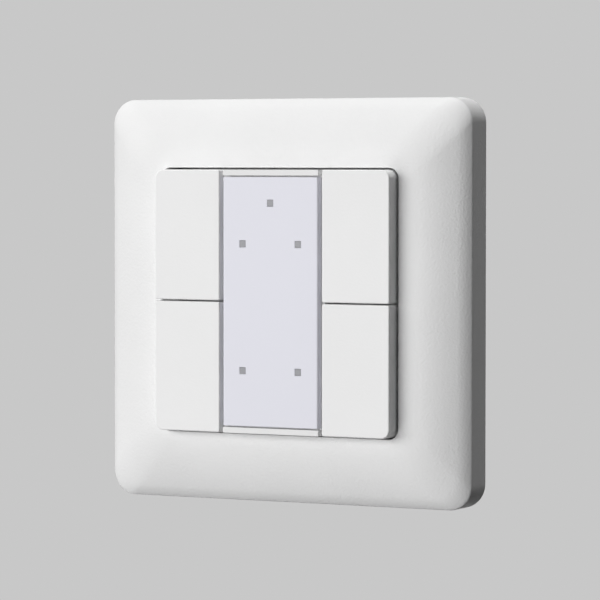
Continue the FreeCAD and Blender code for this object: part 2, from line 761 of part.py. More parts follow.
# Light guides: a square end flush with the label cover on a round stem over each lamp.
def make_lights():
    lamps = []
    for name, (x, z) in lights.items():
        lamps.append(block(name + "_lamp", around(x, "lamp_width"),
                           ("%s + seat_gap" % board_front, lamp_front), around(z, "lamp_height")))
        stem = rod(name + "_stem", x, z, "guide_radius",
                   (lamp_front + " + lamp_gap", "%s - seat_gap" % tower_inside))
        tip = block(name + "_tip", around(x, "light_square"),
                    ("%s - guide_radius" % tower_inside, "insert_front"), around(z, "light_square"))
        finish(name + "_light_guide", join(name + "_guide_joined", [stem, tip]))
    group = doc.addObject("Part::Compound", "lamp_group")
    group.Links = lamps
    finish("status_leds", group)


# Label field: a clear cover with two lugs, and the paper label behind it.
def make_label():
    body = new_body("cover_body")
    outline = new_sketch(body, "cover_outline", cover_rear)
    add_rectangle(outline, (minus(label_half), label_half), (minus(cover_half_height), cover_half_height))
    cover = pad(body, "cover_pad", outline, "cover_thick")
    doc.recompute()
    edge = body.newObject("PartDesign::Chamfer", "cover_chamfer")
    edge.Base = (cover, edges_at_level(cover.Shape, float(sheet.get("insert_front"))))
    bind(edge, "Size", "cover_edge")
    body.Tip = edge
    lugs, cuts, sheet_cuts = [], [], []
    for sign in (1, -1):
        side = "upper" if sign > 0 else "lower"
        low = "%s - lug_inset - lug_thick" % cover_half_height
        high = "%s - lug_inset" % cover_half_height
        lugs.append(block(side + "_lug", around("0", "lug_width"),
                          ("%s - lug_length" % cover_rear, "%s + cover_thick / 2" % cover_rear),
                          span(sign, low, high)))
        sheet_cuts.append(block(side + "_lug_cut", around("0", "lug_width + side_gap"),
                                (tower_front + " - cut_past", cover_rear + " + cut_past"),
                                span(sign, low + " - side_gap / 2", high + " + side_gap / 2")))
    square = "(light_square + 2 * light_play)"
    for name, (x, z) in lights.items():
        through = (tower_front + " - cut_past", "insert_front + cut_past")
        hole = (around(x, square), through, around(z, square))
        cuts.append(block(name + "_cover_hole", *hole))
        sheet_cuts.append(block(name + "_sheet_hole", *hole))
    whole = join("cover_joined", [body] + lugs)
    finish("label_window", carve("cover_cut", whole, cuts))
    paper_half = "(%s - side_gap)" % label_half
    paper_height = "(%s - side_gap)" % cover_half_height
    paper = block("paper", (minus(paper_half), paper_half),
                  ("%s + seat_gap" % tower_front, "%s + seat_gap + sheet_thick" % tower_front),
                  (minus(paper_height), paper_height))
    finish("label_sheet", carve("paper_cut", paper, sheet_cuts))


# Circuit board with what stands on its rear.
def make_board():
    body = new_body("board_body")
    outline = new_sketch(body, "board_outline", "board_rear")
    add_cut_square(outline, board_half, "housing_chamfer")
    pad(body, "board_pad", outline, "board_thick")
    through = ("board_rear - cut_past", board_front + " + cut_past")
    holes = [rod(name + "_board_hole", signed(sx, post_x), signed(sz, post_z),
                 "(board_screw_radius + screw_room)", through)
             for name, (sx, sz) in quarters.items()]
    finish("circuit_board", carve("board_cut", body, holes))

    def chip(label, x, z, width, height, thick):
        out = ("%s - %s" % (rear_of_board, thick), rear_of_board)
        return finish(label, block(label + "_block", around(x, width), out, around(z, height)))

    chip("microcontroller", "controller_inset - %s" % board_half, "chip_height",
         "controller_width", "controller_width", "controller_thick")
    chip("bus_transceiver", "%s - transceiver_inset" % board_half, "chip_height",
         "transceiver_width", "transceiver_width", "transceiver_thick")
    chip("programming_led", "-rear_button_side", rear_button_z, "lamp_width", "lamp_height", "lamp_thick")
    coil_x = "(coil_inset - %s)" % board_half
    coil = rod("coil_core", coil_x, "-coil_drop", "coil_radius",
               (rear_of_board + " - coil_thick", rear_of_board))
    waist = doc.addObject("Part::Torus", "coil_waist")
    waist.Placement.Rotation = FreeCAD.Rotation(FreeCAD.Vector(1, 0, 0), 90)
    bind(waist, "Radius1", "coil_radius + coil_groove_reach")
    bind(waist, "Radius2", "coil_groove")
    bind(waist, "Placement.Base.x", coil_x)
    bind(waist, "Placement.Base.y", minus(rear_of_board + " - coil_thick / 2"))
    bind(waist, "Placement.Base.z", "-coil_drop")
    finish("inductor", carve("coil_cut", coil, [waist]))
    cans = [rod("can_%d" % number, "%s - can_inset" % board_half, "-can_drop %s can_pitch / 2" % side,
                "can_radius", (rear_of_board + " - can_thick", rear_of_board))
            for number, side in enumerate("-+")]
    group = doc.addObject("Part::Compound", "can_group")
    group.Links = cans
    finish("capacitors", group)


# Rear housing: cup with cut corners for the wall box, screw posts, bus socket and ring latches.
def make_rear_housing():
    body = new_body("housing_body")
    outline = new_sketch(body, "housing_outline", "-housing_depth")
    add_cut_square(outline, housing_half, "housing_chamfer")
    pad(body, "housing_pad", outline, "housing_depth + %s" % housing_front)
    hollow = new_sketch(body, "housing_hollow", floor_inside)
    add_cut_square(hollow, "(%s - housing_wall)" % housing_half, "(housing_chamfer - 0.6 * housing_wall)")
    pocket(body, "housing_pocket", hollow, "housing_depth + %s" % housing_front, True)
    doc.recompute()
    added, cut = [], []
    for name, (sx, sz) in quarters.items():
        x, z = signed(sx, post_x), signed(sz, post_z)
        added.append(rod(name + "_post", x, z, "post_radius",
                         ("%s - housing_floor / 2" % floor_inside, rear_of_board)))
        cut.append(rod(name + "_post_bore", x, z, "(screw_head_radius + screw_room)",
                       (before_housing, "-screw_seat_depth")))
        cut.append(rod(name + "_post_hole", x, z, "(board_screw_radius + screw_room)",
                       ("-screw_seat_depth - cut_past", "board_rear + cut_past")))
    socket_x = "(terminal_width / 2 + terminal_play)"
    socket_z = around(terminal_z, "terminal_height + 2 * terminal_play")
    added.append(block("socket_walls", ("-%s - socket_wall" % socket_x, "%s + socket_wall" % socket_x),
                       ("%s - housing_floor / 2" % floor_inside, "%s + socket_wall" % socket_floor),
                       (socket_z[0] + " - socket_wall", socket_z[1] + " + socket_wall")))
    cut.append(block("socket_space", ("-" + socket_x, socket_x), (before_housing, socket_floor), socket_z))
    for side in (1, -1):
        cut.append(rod("pin_hole_%d" % side, signed(side, "terminal_width / 4"), terminal_z,
                       "(pin_radius + 2 * plunger_play)",
                       (socket_floor + " - cut_past", "%s + socket_wall + cut_past" % socket_floor)))
    through_floor = (before_housing, floor_inside + " + cut_past")
    cut.append(rod("button_hole", "rear_button_side", rear_button_z, "(rear_button_radius + plunger_play)",
                   through_floor))
    cut.append(rod("lamp_hole", "-rear_button_side", rear_button_z, "(rear_lamp_radius + seat_gap)",
                   through_floor))
    # latches that spring behind the ring
    for side in (1, -1):
        nose = doc.addObject("Part::Wedge", "latch_nose_%d" % side)
        nose.Xmin = 0
        bind(nose, "Xmax", "housing_wall / 2 + ring_play + latch_nose")
        nose.Ymin = 0
        bind(nose, "Ymax", "latch_ramp")
        nose.Zmin = 0
        bind(nose, "Zmax", "latch_width - 2 * latch_slit")
        nose.X2min = 0
        bind(nose, "X2max", "housing_wall / 2")
        nose.Z2min = 0
        bind(nose, "Z2max", "latch_width - 2 * latch_slit")
        bind(nose, "Placement.Base.x", "%s - housing_wall / 2" % housing_half)
        bind(nose, "Placement.Base.y", "seat_gap")
        bind(nose, "Placement.Base.z", "-latch_width / 2 + latch_slit")
        added.append(nose if side > 0 else mirrored("left_latch_nose", nose, (1, 0, 0)))
        wall = span(side, "%s - housing_wall - cut_past / 2" % housing_half,
                    "%s + cut_past / 2" % housing_half)
        for edge in (1, -1):
            slit = span(edge, "latch_width / 2 - latch_slit", "latch_width / 2")
            name = "latch_slit_%d_%d" % (side, edge)
            cut.append(block(name, wall, ("-latch_length / 2", "latch_length / 2"), slit))
    # room for the light guides that stand close to the wall
    for name, (x, z) in lights.items():
        cut.append(rod(name + "_guide_room", x, z, "(guide_radius + side_gap)",
                       (board_front, housing_front + " + cut_past")))
    whole = join("housing_joined", [body] + added)
    tools = join("housing_cuts", cut)
    return finish("rear_housing", carve("housing_cut", whole, [tools]))


def make_screws():
    screws = []
    for name, (sx, sz) in quarters.items():
        x, z = signed(sx, post_x), signed(sz, post_z)
        seat = "(-screw_seat_depth - seat_gap)"
        head = rod(name + "_screw_head", x, z, "screw_head_radius", (seat + " - screw_head_height", seat))
        shank = rod(name + "_screw_shank", x, z, "board_screw_radius",
                    (seat + " - screw_head_height / 2", "%s + 0.5 * plate_thick" % plate_rear))
        screws.append(join(name + "_screw", [head, shank]))
    group = doc.addObject("Part::Compound", "screw_group")
    group.Links = screws
    finish("housing_screws", group)


# Bus terminal: two plug-on halves with four wire holes each, on two pins of the board.
def make_bus_terminal():
    pins = [rod("bus_pin_%d" % side, signed(side, "terminal_width / 4"), terminal_z, "pin_radius",
                ("-pin_reach", rear_of_board)) for side in (1, -1)]
    group = doc.addObject("Part::Compound", "pin_group")
    group.Links = pins
    finish("bus_pins", group)
    front = "(%s - seat_gap)" % socket_floor
    rear = "(%s - seat_gap - terminal_length)" % socket_floor
    for label, side in (("bus_terminal_red", -1), ("bus_terminal_dark", 1)):
        half = block(label + "_block", span(side, "seat_gap / 2", "terminal_width / 2"), (rear, front),
                     around(terminal_z, "terminal_height"))
        centre = signed(side, "terminal_width / 4")
        cuts = [rod(label + "_pin_bore", centre, terminal_z, "(pin_radius + plunger_play)",
                    ("-pin_reach - cut_past / 2", front + " + cut_past"))]
        for number, (across, along) in enumerate(((-1, -1), (1, -1), (-1, 1), (1, 1))):
            x = "%s + %d * wire_hole_pitch / 4" % (centre, across)
            z = "%s + %d * wire_hole_pitch * 0.7" % (terminal_z, along)
            cuts.append(rod("%s_wire_hole_%d" % (label, number), x, z, "wire_hole_radius",
                            (rear + " - cut_past", rear + " + wire_hole_depth")))
        finish(label, carve(label + "_cut", half, cuts))


# Programming button with its switch, and the lamp's light guide, all at the rear.
def make_programming():
    x, z = "rear_button_side", rear_button_z
    switch_rear = "(%s - switch_body)" % rear_of_board
    body = block("programming_switch_block", around(x, "switch_width"), (switch_rear, rear_of_board),
                 around(z, "switch_width"))
    bore_end = "%s + plunger_depth + rear_button_travel + seat_gap" % switch_rear
    bore = rod("programming_switch_bore", x, z, "(plunger_radius + plunger_play)",
               (switch_rear + " - cut_past", bore_end))
    finish("programming_switch", carve("programming_switch_cut", body, [bore]))
    step = "(%s - plunger_rise)" % switch_rear
    foot = rod("button_foot", x, z, "plunger_radius", (step, "%s + plunger_depth" % switch_rear))
    collar_start = "(%s + 2 * seat_gap)" % floor_inside
    collar_end = collar_start + " + rear_collar_thick"
    stem = rod("button_stem", x, z, "rear_button_radius", ("-housing_depth - rear_button_rise", step))
    collar = rod("button_collar", x, z, "rear_collar_radius", (collar_start, collar_end))
    finish("programming_button", join("button_joined", [foot, stem, collar]))
    guide = rod("lamp_guide_stem", "-" + x, z, "rear_lamp_radius",
                ("-housing_depth", "%s - lamp_thick - lamp_gap" % rear_of_board))
    shoulder = rod("lamp_guide_collar", "-" + x, z, "(rear_lamp_radius + rear_lamp_collar)",
                   ("%s + seat_gap" % floor_inside, "%s + rear_collar_thick" % floor_inside))
    finish("programming_light_guide", join("lamp_guide_joined", [guide, shoulder]))


make_cover_frame()
make_support_ring()
make_button_carrier()
make_keys()
make_switches()
make_lights()
make_label()
make_board()
make_rear_housing()
make_screws()
make_bus_terminal()
make_programming()
doc.recompute()

for piece in doc.Objects:
    if "Invalid" in piece.State or "Error" in piece.State:
        raise RuntimeError("%s failed: %s" % (piece.Name, piece.State))
for label, piece in nodes.items():
    if piece.Shape.isNull() or not piece.Shape.isValid():
        raise RuntimeError("%s has no valid shape" % label)

os.makedirs("parts", exist_ok=True)
for label, piece in nodes.items():
    shape = piece.Shape
    shape.exportStep("parts/%s.step" % label)
    print("%-24s %d solid(s) %10.1f mm3" % (label, len(shape.Solids), shape.Volume))
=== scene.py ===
import json
import math

import bmesh
import bpy
from mathutils import Matrix, Vector


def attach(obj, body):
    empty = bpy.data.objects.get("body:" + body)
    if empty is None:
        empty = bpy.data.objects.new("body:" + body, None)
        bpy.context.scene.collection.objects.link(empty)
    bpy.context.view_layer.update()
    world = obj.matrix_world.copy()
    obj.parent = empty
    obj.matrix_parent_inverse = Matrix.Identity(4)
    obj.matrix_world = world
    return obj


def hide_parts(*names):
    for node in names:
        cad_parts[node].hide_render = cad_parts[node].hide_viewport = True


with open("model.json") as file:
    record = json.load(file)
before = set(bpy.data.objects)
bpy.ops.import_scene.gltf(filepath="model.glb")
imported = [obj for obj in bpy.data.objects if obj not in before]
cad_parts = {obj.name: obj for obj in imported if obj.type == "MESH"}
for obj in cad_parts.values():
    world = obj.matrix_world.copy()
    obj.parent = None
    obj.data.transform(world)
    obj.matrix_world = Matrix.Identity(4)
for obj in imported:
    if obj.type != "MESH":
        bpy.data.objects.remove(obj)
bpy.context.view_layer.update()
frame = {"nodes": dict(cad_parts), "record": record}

nodes = frame["nodes"]
mm = 0.001  # metres; the lengths of the pieces are written in mm
samePlace = 1e-6  # metres, within which a corner counts as lying on a level or at a place
margin = 0.1  # mm, for finding edges next to a level
past = 1.0  # mm by which a cutting block reaches past the piece
hair = 0.001  # mm taken off a round that would otherwise meet the next one
sharpTurn = 50  # degrees between the two faces at an edge, above which it counts as sharp
aligned = 0.999  # cosine of the angle to an axis, above which an edge or a normal runs along it
print("frame loaded:", len(nodes), "nodes")


# helpers for modelling: a place is x, out and z, where out is the distance in front of the wall

def spot(x, out, z):
    return Vector((x, -out, z)) * mm


def leaveEdit():
    if bpy.context.object and bpy.context.object.mode != "OBJECT":
        bpy.ops.object.mode_set(mode="OBJECT")


def deselectAll():
    leaveEdit()
    bpy.ops.object.select_all(action="DESELECT")


def useOnly(piece):
    deselectAll()
    piece.select_set(True)
    bpy.context.view_layer.objects.active = piece


def editPiece(piece):
    useOnly(piece)
    bpy.ops.object.mode_set(mode="EDIT")


# Moves a piece's place, turn and scale into its mesh.
def placeInMesh(piece):
    useOnly(piece)
    bpy.ops.object.transform_apply(location=True, rotation=True, scale=True)


def addBlock(name, low, high):
    deselectAll()
    middle = [(start + end) / 2 for start, end in zip(low, high)]
    bpy.ops.mesh.primitive_cube_add(size=1, location=spot(*middle))
    piece = bpy.context.object
    piece.name = name
    piece.scale = [abs(end - start) * mm for start, end in zip(low, high)]
    placeInMesh(piece)
    return piece


def addRod(name, start, end, radius, sides):
    deselectAll()
    first, last = spot(*start), spot(*end)
    bpy.ops.mesh.primitive_cylinder_add(vertices=sides, radius=radius * mm, depth=(last - first).length,
                                        location=(first + last) / 2)
    piece = bpy.context.object
    piece.name = name
    piece.rotation_euler = (last - first).to_track_quat("Z", "Y").to_euler()
    placeInMesh(piece)
    return piece


# Selects, in edit mode, the vertices, edges or faces that pass a test.
def pick(kind, test):
    piece = bpy.context.object
    bpy.ops.mesh.select_mode(type=kind)
    bpy.ops.mesh.select_all(action="DESELECT")
    shape = bmesh.from_edit_mesh(piece.data)
    items = {"VERT": shape.verts, "EDGE": shape.edges, "FACE": shape.faces}[kind]
    found = [item for item in items if test(item)]
    for item in found:
        item.select_set(True)
    shape.select_flush_mode()
    bmesh.update_edit_mesh(piece.data)
    return len(found)


def middleOf(item):
    return sum((corner.co for corner in item.verts), Vector()) / len(item.verts)


def runsAlong(edge, axis):
    step = edge.verts[0].co - edge.verts[1].co
    return abs(step[axis]) > aligned * step.length


def onLevel(edge, out):
    return all(abs(corner.co.y + out * mm) < samePlace for corner in edge.verts)


# Tells whether an edge lies at the rear end of something that ends at this level.
def atRearEnd(edge, out):
    return all(corner.co.y > -(out + margin) * mm for corner in edge.verts)


def isSharp(edge):
    return math.degrees(edge.calc_face_angle(0.0)) > sharpTurn


def roundEdges(test, width, segments):
    if pick("EDGE", test):
        bpy.ops.mesh.bevel(offset=width * mm, offset_type="OFFSET", segments=segments, profile=0.5,
                           affect="EDGES", clamp_overlap=True)


# Adds tools to a piece, or cuts them out of it, and removes them.
def combine(piece, tools, kind):
    for tool in tools:
        change = piece.modifiers.new("combine", "BOOLEAN")
        change.operation = kind
        change.solver = "MANIFOLD"
        change.object = tool
        useOnly(piece)
        bpy.ops.object.modifier_apply(modifier=change.name)
        bpy.data.objects.remove(tool, do_unlink=True)


# Smooth shading in which the large flat faces keep their own normals.
def smooth(piece, angle=25):
    useOnly(piece)
    bpy.ops.object.shade_smooth_by_angle(angle=math.radians(angle))
    change = piece.modifiers.new("even shading", "WEIGHTED_NORMAL")
    change.keep_sharp = True
    change.weight = 100
    bpy.ops.object.modifier_apply(modifier=change.name)


def copyOf(piece, name):
    copy = piece.copy()
    copy.data = piece.data.copy()
    copy.name = name
    bpy.context.scene.collection.objects.link(copy)
    return copy


def mirrorCopy(piece, name, flip):
    copy = copyOf(piece, name)
    copy.scale = flip
    placeInMesh(copy)
    editPiece(copy)
    bpy.ops.mesh.select_all(action="SELECT")
    bpy.ops.mesh.normals_make_consistent(inside=False)
    leaveEdit()
    return copy


def dress(piece, body, replaced):
    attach(piece, body)
    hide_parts(replaced)
    return piece


# cover frame: rounded squares laid one in front of another and bridged, with ribs behind the arch

frameShape = {
    "half": 42.35, "corner": 5.2,  # half the outer width, and the round of its corners
    "openingHalf": 27.9, "openingCorner": 2.2,
    "skirt": 6.7, "crown": 11.6,  # how far the crease and the opening stand in front of the room's wall
    "edgeRound": 7.5, "edgeTilt": 52.0, "crownTilt": 27.0,  # the round next to the side wall, and its tilts
    "cornerSwell": 2.0,  # how much rounder the corners are halfway up the arch
    "wall": 2.0, "draft": 0.03,  # thickness, and the slope of the level faces over their width
    "collarHalf": 29.3, "collarCorner": 3.6, "collarRear": 1.25,  # the wall round the opening
    "ledgeHalf": 25.3, "ledgeCorner": 1.1, "ledgeFront": 4.6, "ledgeRear": 3.2,  # the sill in the opening
    "hollowFrom": 0.73, "hollowRun": 0.43,  # share of the arch where the hollow starts, and how far it runs
    "hollowFoot": 0.8,  # how far behind the crease the hollow's ceiling meets the side wall
    "edgeSteps": 7, "archSteps": 14, "hollowSteps": 5, "cornerSteps": 16,
    "creaseRound": 0.25, "openingRound": 0.12,
    "rearRound": 0.12, "rearZone": 5.5,  # the round of all sharp edges behind this level
    "ribSpread": 22.0, "ribThick": 1.2, "ribFoot": 3.9,
    "ribInCollar": 0.7, "ribInWall": 1.0, "ribUnderArch": 1.0, "ribUnderCrease": 0.5,
    "ribBrow": 0.3,  # share of the arch where the front of a rib bends
}


# Inset from the outer edge and distance from the wall, for a share of the way along the arch.
def archPoint(share):
    size = frameShape
    tilt, crown = math.radians(size["edgeTilt"]), math.radians(size["crownTilt"])
    edgeInset = size["edgeRound"] * (math.sin(tilt) - math.sin(crown))
    edgeRise = size["edgeRound"] * (math.cos(crown) - math.cos(tilt))
    run = size["half"] - size["openingHalf"] - edgeInset
    rise = size["crown"] - size["skirt"] - edgeRise
    if share < 0:  # the tight round next to the side wall, from -1 to 0
        here = crown - (tilt - crown) * share
        return (size["edgeRound"] * (math.sin(tilt) - math.sin(here)),
                size["skirt"] + size["edgeRound"] * (math.cos(here) - math.cos(tilt)))
    bulge = math.tan(crown) * run / rise - 1  # the rest goes on from the round without a kink
    return edgeInset + run * share, size["skirt"] + edgeRise + rise * (share + bulge * share * (1 - share))


# Half width, distance from the wall and corner round of each ring, along the front and back behind it.
def frameRings():
    size = frameShape
    depth = size["half"] - size["openingHalf"]

    def cornerAt(inset, wall=0.0):
        share = inset / depth
        swell = 4 * size["cornerSwell"] * share * (1 - share)
        return size["corner"] - wall + (size["openingCorner"] - size["corner"]) * share + swell

    shares = [number / size["edgeSteps"] - 1 for number in range(size["edgeSteps"])]
    shares += [number / size["archSteps"] for number in range(size["archSteps"] + 1)]
    rings = []
    for share in shares:
        inset, out = archPoint(share)
        rings.append((size["half"] - inset, out, cornerAt(inset)))
    rings += [(size["openingHalf"], size["ledgeFront"], size["openingCorner"]),
              (size["ledgeHalf"], size["ledgeFront"] - size["draft"], size["ledgeCorner"]),
              (size["ledgeHalf"], size["ledgeRear"], size["ledgeCorner"]),
              (size["openingHalf"], size["ledgeRear"] - size["draft"], size["openingCorner"]),
              (size["openingHalf"], size["collarRear"], size["openingCorner"]),
              (size["collarHalf"], size["collarRear"] + size["draft"], size["collarCorner"])]
    for number in range(size["hollowSteps"] + 1):  # ceiling of the hollow, from the collar to the side wall
        inset, out = archPoint(size["hollowFrom"] - size["hollowRun"] * number / size["hollowSteps"])
        half = max(size["half"] - inset - size["wall"], size["collarHalf"])
        corner = size["collarCorner"] if number == 0 else cornerAt(inset, size["wall"])
        rings.append((half, out - size["wall"], corner))
    inner, innerCorner = size["half"] - size["wall"], size["corner"] - size["wall"]
    rings += [(inner, size["skirt"] - size["hollowFoot"], innerCorner),
              (inner, size["draft"], innerCorner),
              (size["half"], 0.0, size["corner"])]
    return rings


# Ribs between the collar and the side wall, two on each side, cut off below the arch.
def makeRibs():
    size = frameShape
    collar, wall = size["openingHalf"] + size["ribInCollar"], size["half"] - size["ribInWall"]
    top = size["crown"] - size["ribUnderArch"]
    browInset, browOut = archPoint(size["ribBrow"])
    brow, browTop = size["half"] - browInset, browOut - size["ribUnderArch"]
    # each cut is a plane through two places on the front of the rib
    cuts = ((wall, size["skirt"] - size["ribUnderCrease"], brow, browTop), (brow, browTop, collar, top))
    ribs = []
    for spread in (size["ribSpread"], -size["ribSpread"]):
        rib = addBlock("rib", (collar, size["ribFoot"], spread - size["ribThick"] / 2),
                       (wall, top, spread + size["ribThick"] / 2))
        editPiece(rib)
        for x, out, farX, farOut in cuts:
            across = Vector((farOut - out, farX - x, 0)).normalized()
            bpy.ops.mesh.select_all(action="SELECT")
            bpy.ops.mesh.bisect(plane_co=spot(x, out, 0), plane_no=across, use_fill=True,
                                clear_outer=True, clear_inner=False)
        leaveEdit()
        ribs.append(rib)
    turned = []
    for rib in ribs:
        for quarter in range(1, 4):
            copy = copyOf(rib, "rib")
            copy.rotation_euler = (0, math.radians(90 * quarter), 0)
            placeInMesh(copy)
            turned.append(copy)
    return ribs + turned


def makeCoverFrame():
    size = frameShape
    rings = frameRings()
    deselectAll()
    bpy.ops.object.add(type="MESH", location=(0, 0, 0))
    shell = bpy.context.object
    shell.name = "arched_cover_frame"
    bpy.ops.object.mode_set(mode="EDIT")
    for half, out, corner in rings:
        bpy.ops.mesh.select_mode(type="VERT")
        bpy.ops.mesh.select_all(action="DESELECT")
        bpy.ops.mesh.primitive_plane_add(size=2 * half * mm, location=spot(0, out, 0),
                                         rotation=(math.radians(90), 0, 0))
        bpy.ops.mesh.bevel(offset=corner * mm, offset_type="OFFSET", segments=size["cornerSteps"],
                           profile=0.5, affect="VERTICES")
        bpy.ops.mesh.delete(type="ONLY_FACE")
    ringSize = 4 * (size["cornerSteps"] + 1)  # vertices in a ring

    def inRing(edge, number):
        return all(corner.index // ringSize == number for corner in edge.verts)

    for number in range(len(rings)):
        after = (number + 1) % len(rings)
        # only the edges of the two rings, without those that already join them
        pick("EDGE", lambda edge: inRing(edge, number) or inRing(edge, after))
        bpy.ops.mesh.bridge_edge_loops()
    bpy.ops.mesh.select_all(action="SELECT")
    bpy.ops.mesh.normals_make_consistent(inside=False)
    roundEdges(lambda edge: onLevel(edge, size["crown"]), size["openingRound"], segments=4)
    roundEdges(lambda edge: onLevel(edge, size["skirt"]), size["creaseRound"], segments=3)
    roundEdges(lambda edge: isSharp(edge) and middleOf(edge).y > -size["rearZone"] * mm,
               size["rearRound"], segments=2)
    leaveEdit()
    combine(shell, makeRibs(), "UNION")
    smooth(shell, angle=24)
    return dress(shell, "panel_body", "cover_frame")


coverFrame = makeCoverFrame()
print("cover frame made:", len(coverFrame.data.polygons), "faces")


# keys: one is modelled, the other three are its mirrored copies

keyShape = {
    "inner": 12.0, "outer": 27.5,  # its sides towards the label and towards the frame
    "low": 0.15, "high": 27.5, "rear": 10.4, "front": 15.0,
    "bigCorner": 1.8, "smallCorner": 0.4, "faceRound": 0.3, "wall": 1.2, "cap": 1.6,
    "reliefFront": 11.6, "reliefPast": 0.05,  # the cap's inner side is cut away up to this level
    "hingeX": 13.6, "hingeOut": 9.6, "earRadius": 1.4, "pinRadius": 0.95, "pinRound": 0.15,
    "innerReach": 14.2,  # where the ears, the pusher and the hook end inside the cap
    "ears": ((3.85, 5.45, 2.25, 5.0), (22.05, 23.65, 22.5, 25.25)),  # ends of each ear, then of its pin
    "pusherX": 18.0, "pusherZ": 12.5, "pusherOut": 7.0,
    "pusherThick": 1.2, "pusherWide": 2.4, "pusherRound": 0.2,
    "hookX": 19.2, "hookZ": 5.0, "hookOut": 3.6, "hookThick": 1.0, "hookWide": 3.0,
    "noseX": 21.2, "noseOut": 4.55, "noseRound": 0.6,
}


# The hollow cap, with its corners rounded inside and outside.
def makeKeyCap():
    size = keyShape
    cap = addBlock("upper_right_key_cap", (size["inner"], size["rear"], size["low"]),
                   (size["outer"], size["front"], size["high"]))
    editPiece(cap)
    pick("FACE", lambda face: face.normal.y > aligned)
    bpy.ops.mesh.inset(thickness=size["wall"] * mm, use_even_offset=True)
    depth = size["front"] - size["cap"] - size["rear"]
    bpy.ops.mesh.extrude_region_move(TRANSFORM_OT_translate={"value": (0, -depth * mm, 0)})

    def standsAt(edge, x, z):
        middle = middleOf(edge)
        beside = max(abs(middle.x - x * mm), abs(middle.z - z * mm))
        return runsAlong(edge, 1) and beside < samePlace

    wall = size["wall"]
    small = ((size["inner"], size["low"]), (size["inner"], size["high"]), (size["outer"], size["low"]))
    roundEdges(lambda edge: standsAt(edge, size["outer"], size["high"]), size["bigCorner"], segments=16)
    roundEdges(lambda edge: standsAt(edge, size["outer"] - wall, size["high"] - wall),
               size["bigCorner"] - wall, segments=10)
    roundEdges(lambda edge: any(standsAt(edge, *corner) for corner in small),
               size["smallCorner"], segments=5)
    roundEdges(lambda edge: onLevel(edge, size["front"]), size["faceRound"], segments=5)
    leaveEdit()
    relief = addBlock("relief", (size["inner"] - past, size["rear"] - past, size["low"] + wall),
                      (size["inner"] + wall + size["reliefPast"], size["reliefFront"], size["high"] - wall))
    combine(cap, [relief], "DIFFERENCE")
    return cap


# An ear with a round foot, and the stub pin on which the key turns.
def makeEar(low, high, pinLow, pinHigh):
    size = keyShape
    ear = addBlock("ear", (size["hingeX"] - size["earRadius"], size["hingeOut"] - size["earRadius"], low),
                   (size["hingeX"] + size["earRadius"], size["innerReach"], high))
    editPiece(ear)
    roundEdges(lambda edge: runsAlong(edge, 2) and middleOf(edge).y > -size["hingeOut"] * mm,
               size["earRadius"] - hair, segments=12)
    leaveEdit()
    pin = addRod("pin", (size["hingeX"], size["hingeOut"], pinLow),
                 (size["hingeX"], size["hingeOut"], pinHigh), size["pinRadius"], sides=40)
    editPiece(pin)
    roundEdges(isSharp, size["pinRound"], segments=2)
    leaveEdit()
    return [ear, pin]


# The blade that presses the switch plunger.
def makePusher():
    size = keyShape
    thick, wide = size["pusherThick"] / 2, size["pusherWide"] / 2
    pusher = addBlock("pusher", (size["pusherX"] - thick, size["pusherOut"], size["pusherZ"] - wide),
                      (size["pusherX"] + thick, size["innerReach"], size["pusherZ"] + wide))
    editPiece(pusher)
    roundEdges(lambda edge: atRearEnd(edge, size["pusherOut"]), size["pusherRound"], segments=3)
    leaveEdit()
    return pusher


# The hook that holds the key at rest; its nose is drawn out of the foot of its leg.
def makeHook():
    size = keyShape
    low, high = size["hookZ"] - size["hookWide"] / 2, size["hookZ"] + size["hookWide"] / 2
    hook = addBlock("hook", (size["hookX"], size["hookOut"], low),
                    (size["hookX"] + size["hookThick"], size["innerReach"], high))
    editPiece(hook)
    bpy.ops.mesh.select_all(action="SELECT")
    bpy.ops.mesh.bisect(plane_co=spot(0, size["noseOut"], 0), plane_no=(0, 1, 0))
    pick("FACE", lambda face: face.normal.x > aligned and middleOf(face).y > -size["noseOut"] * mm)
    length = size["noseX"] - size["hookX"] - size["hookThick"]
    bpy.ops.mesh.extrude_region_move(TRANSFORM_OT_translate={"value": (length * mm, 0, 0)})
    roundEdges(lambda edge: (runsAlong(edge, 2) and middleOf(edge).x > (size["noseX"] - margin) * mm
                             and atRearEnd(edge, size["hookOut"])), size["noseRound"], segments=3)
    leaveEdit()
    return hook


def makeKey():
    key = makeKeyCap()
    inside = []
    for ends in keyShape["ears"]:
        inside += makeEar(*ends)
    combine(key, inside + [makePusher(), makeHook()], "UNION")
    return key


rightKey = makeKey()
keys = {"upper_right": rightKey,
        "upper_left": mirrorCopy(rightKey, "upper_left_key_cap", (-1, 1, 1)),
        "lower_right": mirrorCopy(rightKey, "lower_right_key_cap", (1, 1, -1)),
        "lower_left": mirrorCopy(rightKey, "lower_left_key_cap", (-1, 1, -1))}
for place, key in keys.items():
    smooth(key)
    dress(key, place + "_key", place + "_key")
print("keys made:", len(rightKey.data.polygons), "faces each")


# label cover: a thin plate with two lugs and five square holes for the lights

coverShape = {
    "half": 11.2, "halfHeight": 25.97, "rear": 13.55, "front": 15.0,
    "sideRound": 0.42, "endRound": 0.08,  # the long sides are rounder than the ends
    "hole": 1.47, "lights": ((0.0, 20.55), (-6.5, 12.05), (6.5, 12.05), (-6.5, -14.4), (6.5, -14.4)),
    "lugWide": 6.0, "lugLow": 24.55, "lugHigh": 25.35, "lugRear": 10.25, "lugRoot": 0.7, "lugRound": 0.25,
}


